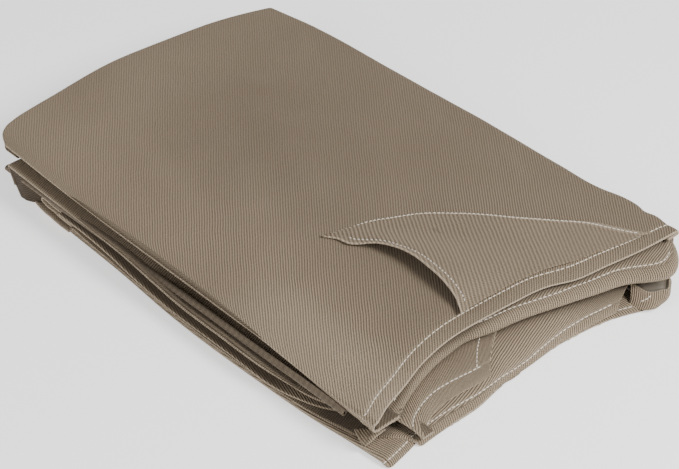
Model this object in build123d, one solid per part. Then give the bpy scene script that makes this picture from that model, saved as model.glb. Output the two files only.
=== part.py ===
"""Folded fabric grill cover: a pack of flat leaves of cloth, millimetres, +Z up.

The origin is the centre of the pack's underside. +X runs along the pack to the hemmed end,
+Y runs across it to the far fold, and the opening edge of the top leaf is at the near fold, -Y.
The leaves fill the pack from the floor up: back panel, left side panel, a thin layer of inner
pieces, the back panel's return, the right side panel, and the front panel with its vent hood.
"""
from build123d import *
import math
import os

# Outline of the pack
HALF_LENGTH = 206.0
HALF_WIDTH = 139.0
# Height of the pack over its four corners: it droops at the near corner of the hemmed end
CORNER_HEIGHT = {"plain_near": 37.0, "plain_far": 37.0, "hemmed_near": 28.0, "hemmed_far": 39.0}

# Share of the pack's height at which each leaf starts
BACK, LEFT, INNER, RETURN, RIGHT, FRONT, TOP = 0.0, 0.10, 0.20, 0.26, 0.41, 0.70, 1.0
GAP = 0.3                 # clear air between leaves that move apart

# The two folds that the upper leaves turn about, each round a roll of inner cloth
ROLL_RADIUS = 2.5
FOLD_RADIUS = ROLL_RADIUS + GAP
NEAR_FOLD_Y = -136.0
FAR_FOLD_Y = 130.5

# Cloth
HEM_WIDTH = 12.0
THREAD = 0.6
CLOTH = 1.0
HEM_THICKNESS = 1.8

# Ends of the leaves along X, before their hems
BACK_LEAF = (-110.0, HALF_LENGTH - HEM_WIDTH)
LEFT_LEAF = (-150.0, 188.0)
RETURN_LEAF = (-165.0, 186.0)
RIGHT_LEAF = (-190.0, 178.0)
FRONT_LEAF = (-HALF_LENGTH, 180.0)
NEAR_Y = -136.0
TOP_LEAF_NEAR_Y = -134.0
FAR_Y = 133.0

# End wrap: a C of cloth round the plain end of the pack
WRAP_OUTER_X = -190.0
WRAP_TOP_PLY_END_X = -170.0
WRAP_BOTTOM_PLY_END_X = -113.0
WRAP_BOTTOM_Z = 2.2

# Vent hood: a fixed part sewn to the front panel, and a lip that lifts along the bend line
HOOD_BEND = ((64.0, 12.0), (172.0, 12.0))
HOOD_SEAM = ((70.0, 24.0), (88.0, 40.0), (118.0, 64.0), (148.0, 90.0), (172.0, 104.0))
LIP_EDGE = ((52.0, -38.0), (166.0, -38.0))
LIP_TILT = 10.0
LIP_HEM = 8.0
BEND_CLEARANCE = 0.8
MESH_WINDOW = (84.0, 158.0, -30.0, 6.0)
MESH_THICKNESS = 0.8

# Closure straps and label, in the inner layer
STRAP_WIDTH = 25.0
STRAP_X = (100.0, 198.0)
STRAP_Y = {"left": 92.0, "right": 10.0}
PATCH_SPANS = {"hook_patch": (106.0, 140.0), "loop_patch": (150.0, 184.0)}
PATCH_INSET = 1.5
WEBBING = 1.2
PATCH = 0.7
TOP_PANEL = (-150.0, 90.0, -128.0, 122.0)
LABEL = (100.0, 140.0, -70.0, -20.0)


def pack_height(x, y):
    """Height of the pack's top face over a point."""
    along = (x + HALF_LENGTH) / (2 * HALF_LENGTH)
    across = (y + HALF_WIDTH) / (2 * HALF_WIDTH)
    plain = (1 - across) * CORNER_HEIGHT["plain_near"] + across * CORNER_HEIGHT["plain_far"]
    hemmed = (1 - across) * CORNER_HEIGHT["hemmed_near"] + across * CORNER_HEIGHT["hemmed_far"]
    return (1 - along) * plain + along * hemmed


def closed_face(points):
    return make_face(Polyline(*points, close=True))


def leaf(span_x, span_y, low, high, lift=0.0, drop=0.0):
    """A leaf from one share of the pack's height to another, trimmed by lift below and drop above."""
    ends = []
    for x in span_x:
        near, far = (pack_height(x, y) for y in span_y)
        ends.append(closed_face([
            (x, span_y[0], low * near + lift), (x, span_y[1], low * far + lift),
            (x, span_y[1], high * far - drop), (x, span_y[0], high * near - drop)]))
    return loft(ends, ruled=True)


def hem(leaf_end_x, span_y, low, high, lift=0.0, drop=0.0, width=HEM_WIDTH):
    """The doubled band beyond a leaf's end."""
    return leaf((leaf_end_x, leaf_end_x + width), span_y, low, high, lift, drop)


def hem_thread(leaf_end_x, span_y, share, drop=0.0):
    """The row of stitching that holds a hem, lying on top of it."""
    x = leaf_end_x + 1.0
    return leaf((x, x + THREAD), span_y, share, share, lift=-drop, drop=drop - THREAD)


def fold_axis(y, share, span_x):
    """Both ends of a fold's axis, FOLD_RADIUS under the leaf that turns about it."""
    return [Vector(x, y, share * pack_height(x, y) - FOLD_RADIUS + GAP) for x in span_x]


def fold_roll(y, share, span_x):
    """The roll of inner cloth in a fold."""
    start, end = fold_axis(y, share, span_x)
    return Solid.make_cylinder(ROLL_RADIUS, (end - start).length, Plane(origin=start, z_dir=end - start))


def base_leaves():
    """The leaves that lie still: everything under the right side panel."""
    roll_room = (NEAR_Y, FAR_FOLD_Y - FOLD_RADIUS)
    ledge = (-HALF_WIDTH, HALF_WIDTH)
    across = (NEAR_Y, FAR_Y)
    return {
        "back_panel": leaf(BACK_LEAF, ledge, BACK, LEFT),
        "back_panel_hem": hem(BACK_LEAF[1], ledge, BACK, LEFT, drop=0.8),
        "back_hem_thread": hem_thread(BACK_LEAF[1], ledge, LEFT, drop=0.8),
        "side_panel_left": leaf(LEFT_LEAF, across, LEFT, INNER),
        "side_panel_left_hem": hem(LEFT_LEAF[1], across, LEFT, INNER, drop=0.8),
        "left_hem_thread": hem_thread(LEFT_LEAF[1], across, INNER, drop=0.8),
        "top_panel": leaf(TOP_PANEL[:2], TOP_PANEL[2:], INNER, RETURN),
        "back_panel_return": leaf(RETURN_LEAF, roll_room, RETURN, RIGHT),
        "back_panel_return_hem": hem(RETURN_LEAF[1], roll_room, RETURN, RIGHT, drop=1.2),
        "return_hem_thread": hem_thread(RETURN_LEAF[1], roll_room, RIGHT, drop=1.2),
        "back_panel_inner_roll": fold_roll(FAR_FOLD_Y, RIGHT, RETURN_LEAF),
        "end_wrap": end_wrap(),
    }


def end_wrap():
    """A C of cloth: bottom ply, round the plain end, and a short ply on top of the base."""
    top_z = RIGHT * pack_height(WRAP_TOP_PLY_END_X, -HALF_WIDTH)
    depth = top_z - WRAP_BOTTOM_Z
    outer = depth / 2
    middle_x = WRAP_OUTER_X + outer
    middle_z = WRAP_BOTTOM_Z + outer
    inner = outer - CLOTH
    outline = [
        Line((WRAP_BOTTOM_PLY_END_X, WRAP_BOTTOM_Z), (middle_x, WRAP_BOTTOM_Z)),
        ThreePointArc((middle_x, WRAP_BOTTOM_Z), (WRAP_OUTER_X, middle_z), (middle_x, top_z)),
        Line((middle_x, top_z), (WRAP_TOP_PLY_END_X, top_z)),
        Line((WRAP_TOP_PLY_END_X, top_z), (WRAP_TOP_PLY_END_X, top_z - CLOTH)),
        Line((WRAP_TOP_PLY_END_X, top_z - CLOTH), (middle_x, top_z - CLOTH)),
        ThreePointArc((middle_x, top_z - CLOTH), (middle_x - inner, middle_z),
                      (middle_x, WRAP_BOTTOM_Z + CLOTH)),
        Line((middle_x, WRAP_BOTTOM_Z + CLOTH), (WRAP_BOTTOM_PLY_END_X, WRAP_BOTTOM_Z + CLOTH)),
        Line((WRAP_BOTTOM_PLY_END_X, WRAP_BOTTOM_Z + CLOTH), (WRAP_BOTTOM_PLY_END_X, WRAP_BOTTOM_Z)),
    ]
    profile = make_face(Plane.XZ * Wire(outline))
    start_y = -HALF_WIDTH
    end_y = FAR_FOLD_Y - FOLD_RADIUS
    return extrude(Pos(0, start_y, 0) * profile, end_y - start_y, dir=(0, 1, 0))


def inner_pieces():
    """Closure straps with their hook and loop patches, and a blank care label."""
    pieces = {}
    for side, y in STRAP_Y.items():
        span_y = (y, y + STRAP_WIDTH)
        pieces["closure_strap_" + side] = leaf(STRAP_X, span_y, INNER, INNER, drop=-WEBBING)
        patch_y = (y + PATCH_INSET, y + STRAP_WIDTH - PATCH_INSET)
        for patch, span_x in PATCH_SPANS.items():
            pieces[f"strap_{side}_{patch}"] = leaf(
                span_x, patch_y, INNER, INNER, lift=WEBBING, drop=-WEBBING - PATCH)
    pieces["care_label"] = leaf(LABEL[:2], LABEL[2:], INNER, INNER, drop=-CLOTH / 2)
    return pieces


def middle_leaves():
    """The right side panel, which turns about the far fold."""
    behind_roll = (NEAR_FOLD_Y + FOLD_RADIUS, FAR_FOLD_Y)
    under_roll = (-HALF_WIDTH, NEAR_FOLD_Y + FOLD_RADIUS)
    core_depth = 2 * FOLD_RADIUS
    split = (RIGHT + FRONT) / 2
    panel = leaf(RIGHT_LEAF, behind_roll, RIGHT, FRONT, lift=GAP)
    ledge = leaf(RIGHT_LEAF, under_roll, RIGHT, FRONT, lift=GAP, drop=core_depth)
    return {
        "side_panel_right": panel + ledge,
        "side_panel_right_roll": hem(RIGHT_LEAF[1], behind_roll, split, FRONT, width=18.0),
        "side_panel_right_hem": hem(RIGHT_LEAF[1], behind_roll, RIGHT, split, lift=GAP, width=20.0),
        "right_hem_thread": leaf((RIGHT_LEAF[1] + 18.6, RIGHT_LEAF[1] + 19.2), behind_roll,
                                 split, split, drop=-THREAD),
        "front_panel_inner_roll": fold_roll(NEAR_FOLD_Y, FRONT, RIGHT_LEAF),
    }


def top_leaves():
    """The front panel, which turns about the near fold, with the vent's mesh and fixed hood."""
    across = (TOP_LEAF_NEAR_Y, FAR_Y)
    mesh = leaf(MESH_WINDOW[:2], MESH_WINDOW[2:], TOP, TOP, lift=-MESH_THICKNESS)
    return {
        "front_panel": leaf(FRONT_LEAF, across, FRONT, TOP, lift=GAP) - mesh,
        "front_panel_hem": hem(FRONT_LEAF[1], across, FRONT, TOP, lift=GAP, drop=1.0),
        "front_hem_thread": hem_thread(FRONT_LEAF[1], across, TOP, drop=1.0),
        "vent_mesh": mesh,
        "vent_hood": hood_plate(),
        "vent_seam_thread": seam_thread(),
    }


def hood_plate():
    """The fixed part of the hood, between the bend line and the seam."""
    outline = [HOOD_BEND[0], *HOOD_SEAM, HOOD_BEND[1]]
    blank = extrude(closed_face(outline), 2 * CORNER_HEIGHT["hemmed_far"])
    return blank & leaf((60.0, 180.0), (HOOD_BEND[0][1], 110.0), TOP, TOP, drop=-CLOTH)


def seam_thread():
    """The row of stitching along the hood's sewn edge, standing on the hood."""
    run = [Vector(x + 2.0, y - 2.0, pack_height(x, y) + CLOTH + THREAD) for x, y in HOOD_SEAM]
    pieces = [Solid.make_cylinder(THREAD / 2, (b - a).length, Plane(origin=a, z_dir=b - a))
              for a, b in zip(run, run[1:])]
    joints = [Pos(*point) * Sphere(THREAD / 2) for point in run[1:-1]]
    return pieces[0].fuse(*pieces[1:], *joints)


def lip_plane():
    """The tilted plane of the lip: its X along the bend line, its Y away from the free edge."""
    (x0, y0), (x1, y1) = HOOD_BEND
    base = max(pack_height(x, y0) for x in (x0, x1)) + GAP
    return Plane(origin=(0, y0, base), z_dir=(0, math.sin(math.radians(LIP_TILT)),
                                              math.cos(math.radians(LIP_TILT))), x_dir=(1, 0, 0))


def lip_pieces():
    """The lip of the hood, its doubled free edge and the row of stitching that holds it."""
    depth = (HOOD_BEND[0][1] - LIP_EDGE[0][1]) / math.cos(math.radians(LIP_TILT))
    inner = -(depth - LIP_HEM)
    share = LIP_HEM / depth
    left = LIP_EDGE[0][0] + share * (HOOD_BEND[0][0] - LIP_EDGE[0][0])
    right = LIP_EDGE[1][0] + share * (HOOD_BEND[1][0] - LIP_EDGE[1][0])
    plane = lip_plane()
    plate = closed_face([(HOOD_BEND[0][0], -BEND_CLEARANCE), (HOOD_BEND[1][0], -BEND_CLEARANCE),
                         (right, inner), (left, inner)])
    edge = closed_face([(left, inner), (right, inner), (LIP_EDGE[1][0], -depth), (LIP_EDGE[0][0], -depth)])
    stitch = closed_face([(left, inner + 1.0), (right, inner + 1.0),
                          (right, inner + 1.0 + THREAD), (left, inner + 1.0 + THREAD)])
    return {
        "vent_hood_lip": extrude(plane * plate, CLOTH),
        "vent_lip_hem": extrude(plane * edge, HEM_THICKNESS),
        "vent_lip_thread": extrude(plane.offset(CLOTH) * stitch, THREAD),
    }


def main():
    os.makedirs("parts", exist_ok=True)
    nodes = {**base_leaves(), **inner_pieces(), **middle_leaves(), **top_leaves(), **lip_pieces()}
    for name, shape in nodes.items():
        export_step(shape, f"parts/{name}.step")
    for name, y, share in (("far fold", FAR_FOLD_Y, RIGHT), ("near fold", NEAR_FOLD_Y, FRONT)):
        start, end = fold_axis(y, share, RIGHT_LEAF)
        print(name, "axis through", start, "along", (end - start).normalized())
    print("lip bend through", lip_plane().origin)


main()
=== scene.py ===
"""Looks of the folded grill cover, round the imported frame. Shapes are in millimetres until a mesh is made."""
import math

import bpy
import numpy as np
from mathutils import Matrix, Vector


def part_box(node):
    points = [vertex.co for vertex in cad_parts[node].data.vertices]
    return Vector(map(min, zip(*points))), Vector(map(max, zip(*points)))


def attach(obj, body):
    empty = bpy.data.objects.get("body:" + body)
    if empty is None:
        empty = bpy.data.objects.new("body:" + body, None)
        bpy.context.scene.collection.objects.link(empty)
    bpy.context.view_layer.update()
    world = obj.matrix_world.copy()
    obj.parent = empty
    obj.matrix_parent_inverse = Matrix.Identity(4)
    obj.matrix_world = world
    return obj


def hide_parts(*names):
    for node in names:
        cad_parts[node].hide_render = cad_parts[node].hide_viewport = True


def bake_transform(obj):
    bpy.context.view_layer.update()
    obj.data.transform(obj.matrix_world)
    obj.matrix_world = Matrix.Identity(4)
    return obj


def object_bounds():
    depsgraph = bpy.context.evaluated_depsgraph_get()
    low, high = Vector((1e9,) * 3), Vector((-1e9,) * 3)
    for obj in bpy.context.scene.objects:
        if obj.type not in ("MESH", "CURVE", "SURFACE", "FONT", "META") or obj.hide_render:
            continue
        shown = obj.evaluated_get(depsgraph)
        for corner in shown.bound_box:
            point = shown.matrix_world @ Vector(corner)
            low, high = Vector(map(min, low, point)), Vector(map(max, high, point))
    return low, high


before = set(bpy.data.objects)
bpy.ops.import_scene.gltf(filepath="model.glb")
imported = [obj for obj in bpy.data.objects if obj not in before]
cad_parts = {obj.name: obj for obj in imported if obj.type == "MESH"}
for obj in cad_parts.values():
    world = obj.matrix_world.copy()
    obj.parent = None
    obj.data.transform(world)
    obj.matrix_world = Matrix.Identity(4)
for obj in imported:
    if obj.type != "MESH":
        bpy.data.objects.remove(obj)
cad_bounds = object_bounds()

MM = 0.001
CLOTH = 0.75              # thickness of one ply
HEM_WIDTH = 9.6
HEM_GAP = 1.7             # between a hem's outer ply and its tucked ply
FINE_STEP = 0.8           # row spacing within a hem
HEM_ARC = np.linspace(0.2, math.pi - 0.3, 5)      # angles round a hem's turned edge


def box_mm(node):
    """The low and high corners of a CAD node's box, in millimetres."""
    return [np.array(corner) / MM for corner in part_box(node)]


# The pack's box, and the y of its top leaf's long edges
PACK_LOW, PACK_HIGH = (np.array(corner) / MM for corner in cad_bounds)
WIDTH_LOW, WIDTH_HIGH = (corner[1] for corner in box_mm("front_panel"))
# Shares of the pack's height at which the leaves meet, and its height over the corners
RETURN_SHARE, RIGHT_SHARE, FRONT_SHARE = 0.26, 0.41, 0.70
CORNERS = {"plain_near": 37.0, "plain_far": 37.0, "hemmed_near": 28.0, "hemmed_far": 39.0}


# ---- numbers

def smooth(*stations):
    """A smooth curve through (place, value) stations, level beyond the first and last."""
    t, v = (np.array(column, float) for column in zip(*stations))
    slope = np.gradient(v, t)

    def at(x):
        x = np.clip(np.asarray(x, float), t[0], t[-1])
        i = np.clip(np.searchsorted(t, x) - 1, 0, len(t) - 2)
        h = t[i + 1] - t[i]
        s = (x - t[i]) / h
        return ((1 + 2 * s) * (1 - s) ** 2 * v[i] + s * (1 - s) ** 2 * h * slope[i]
                + s * s * (3 - 2 * s) * v[i + 1] + s * s * (s - 1) * h * slope[i + 1])
    return at


def level(value):
    """A curve with the same value everywhere."""
    return lambda x: np.full(np.shape(x), float(value))


def ease(t):
    """A soft step from 0 to 1 as t goes from 0 to 1."""
    t = np.clip(t, 0, 1)
    return t * t * (3 - 2 * t)


def bump(x, centre, width):
    """A soft bump, 1 at its centre."""
    return np.exp(-((x - centre) / width) ** 2)


def ripple(x, y, seed, wavelength, waves=7):
    """Smooth unevenness from a few sine waves of seeded heading and phase, about -1 to 1."""
    draw = np.random.default_rng(seed)
    total = np.zeros(np.broadcast(x, y).shape)
    for _ in range(waves):
        heading, phase = draw.uniform(0, 2 * math.pi, 2)
        k = 2 * math.pi / (wavelength * draw.uniform(0.6, 1.6))
        total = total + np.sin(k * (x * math.cos(heading) + y * math.sin(heading)) + phase)
    return total / math.sqrt(waves)


def pack_height(x, y):
    """The height of the folded pack, from its heights at the four corners."""
    along = (x - PACK_LOW[0]) / (PACK_HIGH[0] - PACK_LOW[0])
    across = (y - PACK_LOW[1]) / (PACK_HIGH[1] - PACK_LOW[1])
    plain = (1 - across) * CORNERS["plain_near"] + across * CORNERS["plain_far"]
    hemmed = (1 - across) * CORNERS["hemmed_near"] + across * CORNERS["hemmed_far"]
    return (1 - along) * plain + along * hemmed


# ---- meshes

def unit(vectors):
    return vectors / np.maximum(np.linalg.norm(vectors, axis=-1, keepdims=True), 1e-9)


def distances(line):
    """How far along a line each of its points lies."""
    return np.concatenate([[0], np.cumsum(np.linalg.norm(np.diff(line, axis=0), axis=1))])


def arc_lengths(points, axis):
    """How far along its row or column each point of a grid lies."""
    steps = np.linalg.norm(np.diff(points, axis=axis), axis=-1)
    pad = [(0, 0), (0, 0)]
    pad[axis] = (1, 0)
    return np.pad(np.cumsum(steps, axis=axis), pad)


def new_object(name, points, faces):
    mesh = bpy.data.meshes.new(name)
    mesh.from_pydata((np.asarray(points) * MM).tolist(), [], [tuple(int(i) for i in f) for f in faces])
    mesh.update()
    mesh.shade_smooth()
    obj = bpy.data.objects.new(name, mesh)
    bpy.context.scene.collection.objects.link(obj)
    return obj


def cloth_map(grid):
    """Distances along the cloth, set so that the middle of the piece agrees with its place in the plan."""
    row, column = grid.shape[0] // 2, grid.shape[1] // 2
    u, v = arc_lengths(grid, 0), arc_lengths(grid, 1)
    return np.stack([u - u[row] - grid[row, :, 0], v - v[:, column, None] + grid[:, column, None, 1]], -1)


def turned(layout, degrees):
    """A cloth map turned, for a hem whose weave runs another way from its panel's."""
    c, s = math.cos(math.radians(degrees)), math.sin(math.radians(degrees))
    return np.stack([layout[..., 0] * c + layout[..., 1] * s, layout[..., 1] * c - layout[..., 0] * s], -1)


def grid_object(name, grid, wear_and_shading=None, layout=None):
    """A cloth mesh from rows x columns of points, kept above the floor, with a map in metres for its weave.
    Its wear value is up to 1 where the cloth is paler, from rubbing and a painted highlight on fold edges, and
    down to -1 where painted shade darkens it inside a fold."""
    rows, columns = grid.shape[:2]
    corner = np.arange(rows * columns).reshape(rows, columns)
    faces = np.stack([corner[:-1, :-1], corner[:-1, 1:], corner[1:, 1:], corner[1:, :-1]], -1)
    above_floor = np.maximum(grid, [-np.inf, -np.inf, CLOTH])
    obj = new_object(name, above_floor.reshape(-1, 3), faces.reshape(-1, 4))
    uv = (cloth_map(grid) if layout is None else layout).reshape(-1, 2) * MM
    layer = obj.data.uv_layers.new(name="cloth")
    loops = np.zeros(len(obj.data.loops), np.int32)
    obj.data.loops.foreach_get("vertex_index", loops)
    layer.data.foreach_set("uv", uv[loops].astype(np.float32).ravel())
    wear_shading_attribute = obj.data.attributes.new("wear_and_shading", "FLOAT", "POINT")
    values = np.zeros(len(uv)) if wear_and_shading is None else wear_and_shading.ravel()
    wear_shading_attribute.data.foreach_set("value", values.astype(np.float32))
    return obj


def thicken(obj, thickness=CLOTH):
    """Gives a cloth mesh its thickness, on its inner side."""
    solid = obj.modifiers.new("cloth thickness", "SOLIDIFY")
    solid.thickness = thickness * MM
    solid.offset = -1
    solid.use_rim = True
    return obj


# ---- leaves

class Rows:
    """Rows of a leaf's body. A row lies offset below its base along inward, moved by shift. wear marks folds:
    rubbing and painted highlight above 0 and painted shade below 0, and reach is the share of the long edges'
    size that a row takes."""

    def __init__(self, base, inward, offset=0.0, shift=0.0, wear_and_shading=0.0, reach=1.0):
        shape = base.shape[:2]
        self.base, self.inward = base, inward
        self.offset = np.zeros(shape) + offset
        self.shift = np.zeros(base.shape) + shift
        self.wear_and_shading = np.zeros(shape) + wear_and_shading
        self.reach = np.zeros(shape) + reach

    def joined(self, *others):
        parts = (self,) + others
        return Rows(*(np.concatenate([getattr(part, key) for part in parts])
                      for key in ("base", "inward", "offset", "shift", "wear_and_shading", "reach")))

    def points(self):
        return self.base + self.inward * self.offset[..., None] + self.shift


class Leaf:
    """One folded leaf of cloth. near and far give the y of its long edges over x, top its upper face, and soil
    the painted light and shade added to its wear value. hem_x and hem_z place its hem's edge over y, hem is the
    hem's width, and reach and curl say how far and how steeply the hemmed end droops. plain_x places the plain
    end over y, and end_depth is the depth of its roll or wall. The radii are those of the long edges, and a
    tuck is the length and depth of the ply under one. side_seam is a side seam's column, counted from the far
    edge, or 0."""

    def __init__(self, **shape):
        self.rows, self.columns, self.hem, self.side_seam = 90, 90, level(HEM_WIDTH), 0
        self.end, self.end_depth = "roll", level_depth(3.0)
        self.near_tuck, self.far_tuck = (16.0, 3.0), (10.0, 2.6)
        self.__dict__.update(shape)

    def across(self, x, v):
        """The y at a share v of the way from the near edge to the far one."""
        low = self.near(x) + self.near_radius(x)
        return low + (self.far(x) - self.far_radius(x) - low) * v

    def settle(self, end_x, v):
        """The y at which each column meets an end whose x depends on y."""
        y = WIDTH_LOW + (WIDTH_HIGH - WIDTH_LOW) * v
        for _ in range(6):
            y = 0.5 * (y + self.across(end_x(y), v))
        return y

    def outer_path(self, v):
        """Points down the middle of each column, from the hem's edge to the plain end."""
        hem_y, plain_y = self.settle(self.hem_x, v), self.settle(self.plain_x, v)
        curl, reach = np.radians(self.curl(hem_y)), self.reach(hem_y)
        turn_x = self.hem_x(hem_y) - reach * np.sin(curl)
        theta = np.linspace(1, 0, 60)[:, None] * curl
        turn_z = self.top(turn_x, self.across(turn_x, v))
        drop = (turn_z - self.hem_z(hem_y)) / (1 - np.cos(curl))
        x_drop = turn_x + reach * np.sin(theta)
        share = np.linspace(0, 1, 500)[1:, None]
        x_flat = turn_x + (self.plain_x(plain_y) - turn_x) * share
        x = np.concatenate([x_drop, x_flat])
        y = self.across(x, v)
        z = np.concatenate([turn_z - drop * (1 - np.cos(theta)), self.top(x_flat, y[len(theta):])])
        return np.stack([x, y, z], -1)

    def outer_rows(self, v):
        """The outer face: fine rows through the hem, then even rows to the plain end."""
        path = self.outer_path(v)
        run = arc_lengths(path, 0)
        fine = np.arange(0, self.hem(110) + 4, FINE_STEP)
        distance = np.zeros((len(fine) + self.rows, len(v)))
        rows = np.zeros(distance.shape + (3,))
        for j in range(len(v)):
            rest = fine[-1] + (run[-1, j] - fine[-1]) * np.linspace(0, 1, self.rows + 1)[1:]
            distance[:, j] = np.concatenate([fine, rest])
            for k in range(3):
                rows[:, j, k] = np.interp(distance[:, j], run[:, j], path[:, j, k])
        return rows, distance

    def grid(self):
        """All the leaf's points, its wear value of rubbing, painted highlight and painted shade, and the index
        of its first outer row.
        """
        v = np.linspace(0, 1, self.columns)
        v = 0.65 * v + 0.35 * (0.5 - 0.5 * np.cos(v * math.pi))
        outer, distance = self.outer_rows(v)
        inward = inward_normals(outer)
        hem = self.hem(outer[..., 1])
        outer = outer - inward * hem_relief(distance, outer[..., 1], hem)[..., None]
        # paler along the hem's stitching, plus the leaf's painted light and shade
        wear_and_shading = 0.3 * np.exp(-((distance - hem) / 1.5) ** 2) + self.soil(outer[..., 0], outer[..., 1])
        face = Rows(outer, inward, wear_and_shading=wear_and_shading, reach=0.35 + 0.65 * ease((distance - 16) / 30))
        hem_plies = hem_rows(outer, inward)
        body = hem_plies.joined(face, self.plain_end(outer))
        near, near_wear_and_shading = edge_columns(body, 0, -1, self.near_radius, self.near_tuck)
        far, far_wear_and_shading = edge_columns(body, -1, 1, self.far_radius, self.far_tuck)
        points = np.concatenate([near[:, ::-1], body.points(), far], axis=1)
        wear_and_shading = np.concatenate([near_wear_and_shading[:, ::-1], body.wear_and_shading, far_wear_and_shading], axis=1)
        return points, wear_and_shading, len(hem_plies.base)

    def plain_end(self, outer):
        """Rows past the plain end; a wall gets painted shade."""
        last = outer[-1]
        end_rows, wear_and_shading = (wall_rows, -0.35) if self.end == "wall" else (roll_rows, 0.0)
        rows = np.array(end_rows(last, self.end_depth(last)))
        inward = inward_normals(np.concatenate([outer[-2:], rows]))[2:]
        return Rows(rows, inward, wear_and_shading=wear_and_shading, reach=0.0)


def roll_rows(last, depth):
    """Rows that roll under, then run back as a short ply below."""
    radius = depth / 2
    rows = []
    for a in np.linspace(0, math.pi, 14)[1:]:
        rows.append(last + np.stack([-radius * np.sin(a), 0 * radius, -radius * (1 - np.cos(a))], -1))
    foot = rows[-1]
    return rows + [foot + np.array([back, 0, 0]) for back in (3.0, 6.0, 9.0, 12.0)]


def wall_rows(last, depth, radius=1.6, lean=6.0):
    """Rows that turn down and hang as a wall, its foot leaning in under the leaf."""
    rows = []
    for a in np.linspace(0, math.pi / 2, 6)[1:]:
        rows.append(last + np.array([-radius * math.sin(a), 0, -radius * (1 - math.cos(a))]))
    side, zero = rows[-1], 0 * depth
    for share in np.linspace(0, 1, 8)[1:]:
        rows.append(side + np.stack([lean * share + zero, zero, -(depth - radius) * share], -1))
    return rows


def hem_relief(distance, y, width):
    """How far cloth stands out of its plane: a puffed hem, a groove at its stitching and a slight pucker."""
    seam = distance - width
    puff = 0.3 * np.sin(np.clip(distance / width, 0, 1) * math.pi)
    pucker = 0.14 * np.sin(y / 1.5) * np.exp(-(seam / 3.0) ** 2)
    return puff + pucker - 0.45 * np.exp(-(seam / 1.1) ** 2)


def hem_rows(outer, inward):
    """The hem's inner ply, darkened with painted shade, then its turned edge, paled for rubbing and a painted
    highlight.
    """
    tucked = slice(11, 0, -2)
    ply = Rows(outer[tucked], inward[tucked], offset=HEM_GAP, reach=0.35,
               wear_and_shading=-0.7 * (1 - ease((outer[tucked][..., 1] - 70) / 30)))
    half = HEM_GAP / 2
    edge = np.repeat(outer[:1], len(HEM_ARC), 0)
    edge_in = np.repeat(inward[:1], len(HEM_ARC), 0)
    outwards = np.stack([-edge_in[..., 2], 0 * edge_in[..., 1], edge_in[..., 0]], -1)
    turn = Rows(edge, edge_in, offset=(half * (1 + np.cos(HEM_ARC)))[:, None],
                shift=outwards * (half * np.sin(HEM_ARC))[:, None, None], wear_and_shading=1.0, reach=0.35)
    return ply.joined(turn)


def inward_normals(body):
    """Unit vectors square to each row's step and to Y, pointing into the leaf."""
    step = np.gradient(body, axis=0)
    return unit(np.stack([-step[..., 2], np.zeros(step.shape[:2]), step[..., 0]], -1))


def edge_columns(body, column, side, radius, tuck):
    """Columns past a long edge, from the edge outwards, with their wear value: a pale-crested round nose, then
    a tucked ply in painted shade.
    side is -1 at the near edge and 1 at the far one."""
    edge, inward, shift = body.base[:, column], body.inward[:, column], body.shift[:, column]
    offset, reach = body.offset[:, column, None], body.reach[:, column]
    r = radius(edge[:, 0]) * np.where(reach > 0, 1, 0.4)
    length, depth = tuck
    deepest = depth(edge) if callable(depth) else np.full(len(edge), float(depth))
    extra = (np.maximum(deepest - 2 * r, 0) * reach)[:, None]
    length = (length * (0.3 + 0.7 * reach))[:, None]
    r = r[:, None]
    out = np.array([0, side, 0])
    ply = np.maximum(r - offset, 0.25)
    shade = np.minimum(body.wear_and_shading[:, column], 0)
    depth_shade = 1.0 if side < 0 else 0.3
    columns, wear_and_shading = [], []
    for a in np.linspace(0, math.pi, 9)[1:]:
        columns.append(edge + shift + inward * r + ply * (out * math.sin(a) - inward * math.cos(a)))
        # the nose's crest is paled for rubbing and a painted highlight; painted shade deepens round the nose's
        # underside and along the tuck
        rub_and_highlight = 0.7 * np.exp(-((a - 1.2) * r[:, 0] / 0.7) ** 2)
        wear_and_shading.append(rub_and_highlight - 0.6 * depth_shade * ease((a - 1.9) / 1.2) + shade)
    for share in np.linspace(0, 1, 9)[1:]:
        columns.append(edge + shift + inward * (r + ply + extra * share ** 2) - out * length * share)
        wear_and_shading.append(np.full(len(edge), (-0.6 - 0.4 * share) * depth_shade))
    # the hem's turned edge keeps a pale rim of rubbing and painted highlight round the nose
    rim = (body.wear_and_shading[:, column] > 0.9)[:, None]
    return np.stack(columns, 1), np.where(rim, 0.8, np.stack(wear_and_shading, 1))


# A stitch's rings: how far along it each one lies, its girth, and how far it stands out
RING_SHARE = np.array([0, 0.06, 0.25, 0.5, 0.75, 0.94, 1.0])
RING_GIRTH = np.array([0.25, 0.8, 1.0, 1.05, 1.0, 0.8, 0.25])
RING_RISE = np.array([-0.35, -0.12, 0.1, 0.2, 0.1, -0.12, -0.35])
RING_SIDES = 6


def stitches(name, line, up, body, pitch=3.7, length=3.0, radius=0.34, lift=0.14, material="thread"):
    """A row of thread stitches along a line of points: each one a small bent capsule."""
    run = distances(line)
    points, faces = [], []
    draw = np.random.default_rng(5)
    for k in range(int(run[-1] // pitch)):
        start = k * pitch + draw.uniform(-0.2, 0.2)
        at = np.clip(start + RING_SHARE * length, 0, run[-1])
        centre = np.stack([np.interp(at, run, line[:, c]) for c in range(3)], -1)
        rise = np.stack([np.interp(at, run, up[:, c]) for c in range(3)], -1)
        faces += stitch_faces(len(points))
        points += stitch_points(centre, rise, radius, lift)
    obj = new_object(name, points, faces)
    obj.data.materials.append(MATERIALS[material])
    if body:
        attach(obj, body)
    return obj


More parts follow.
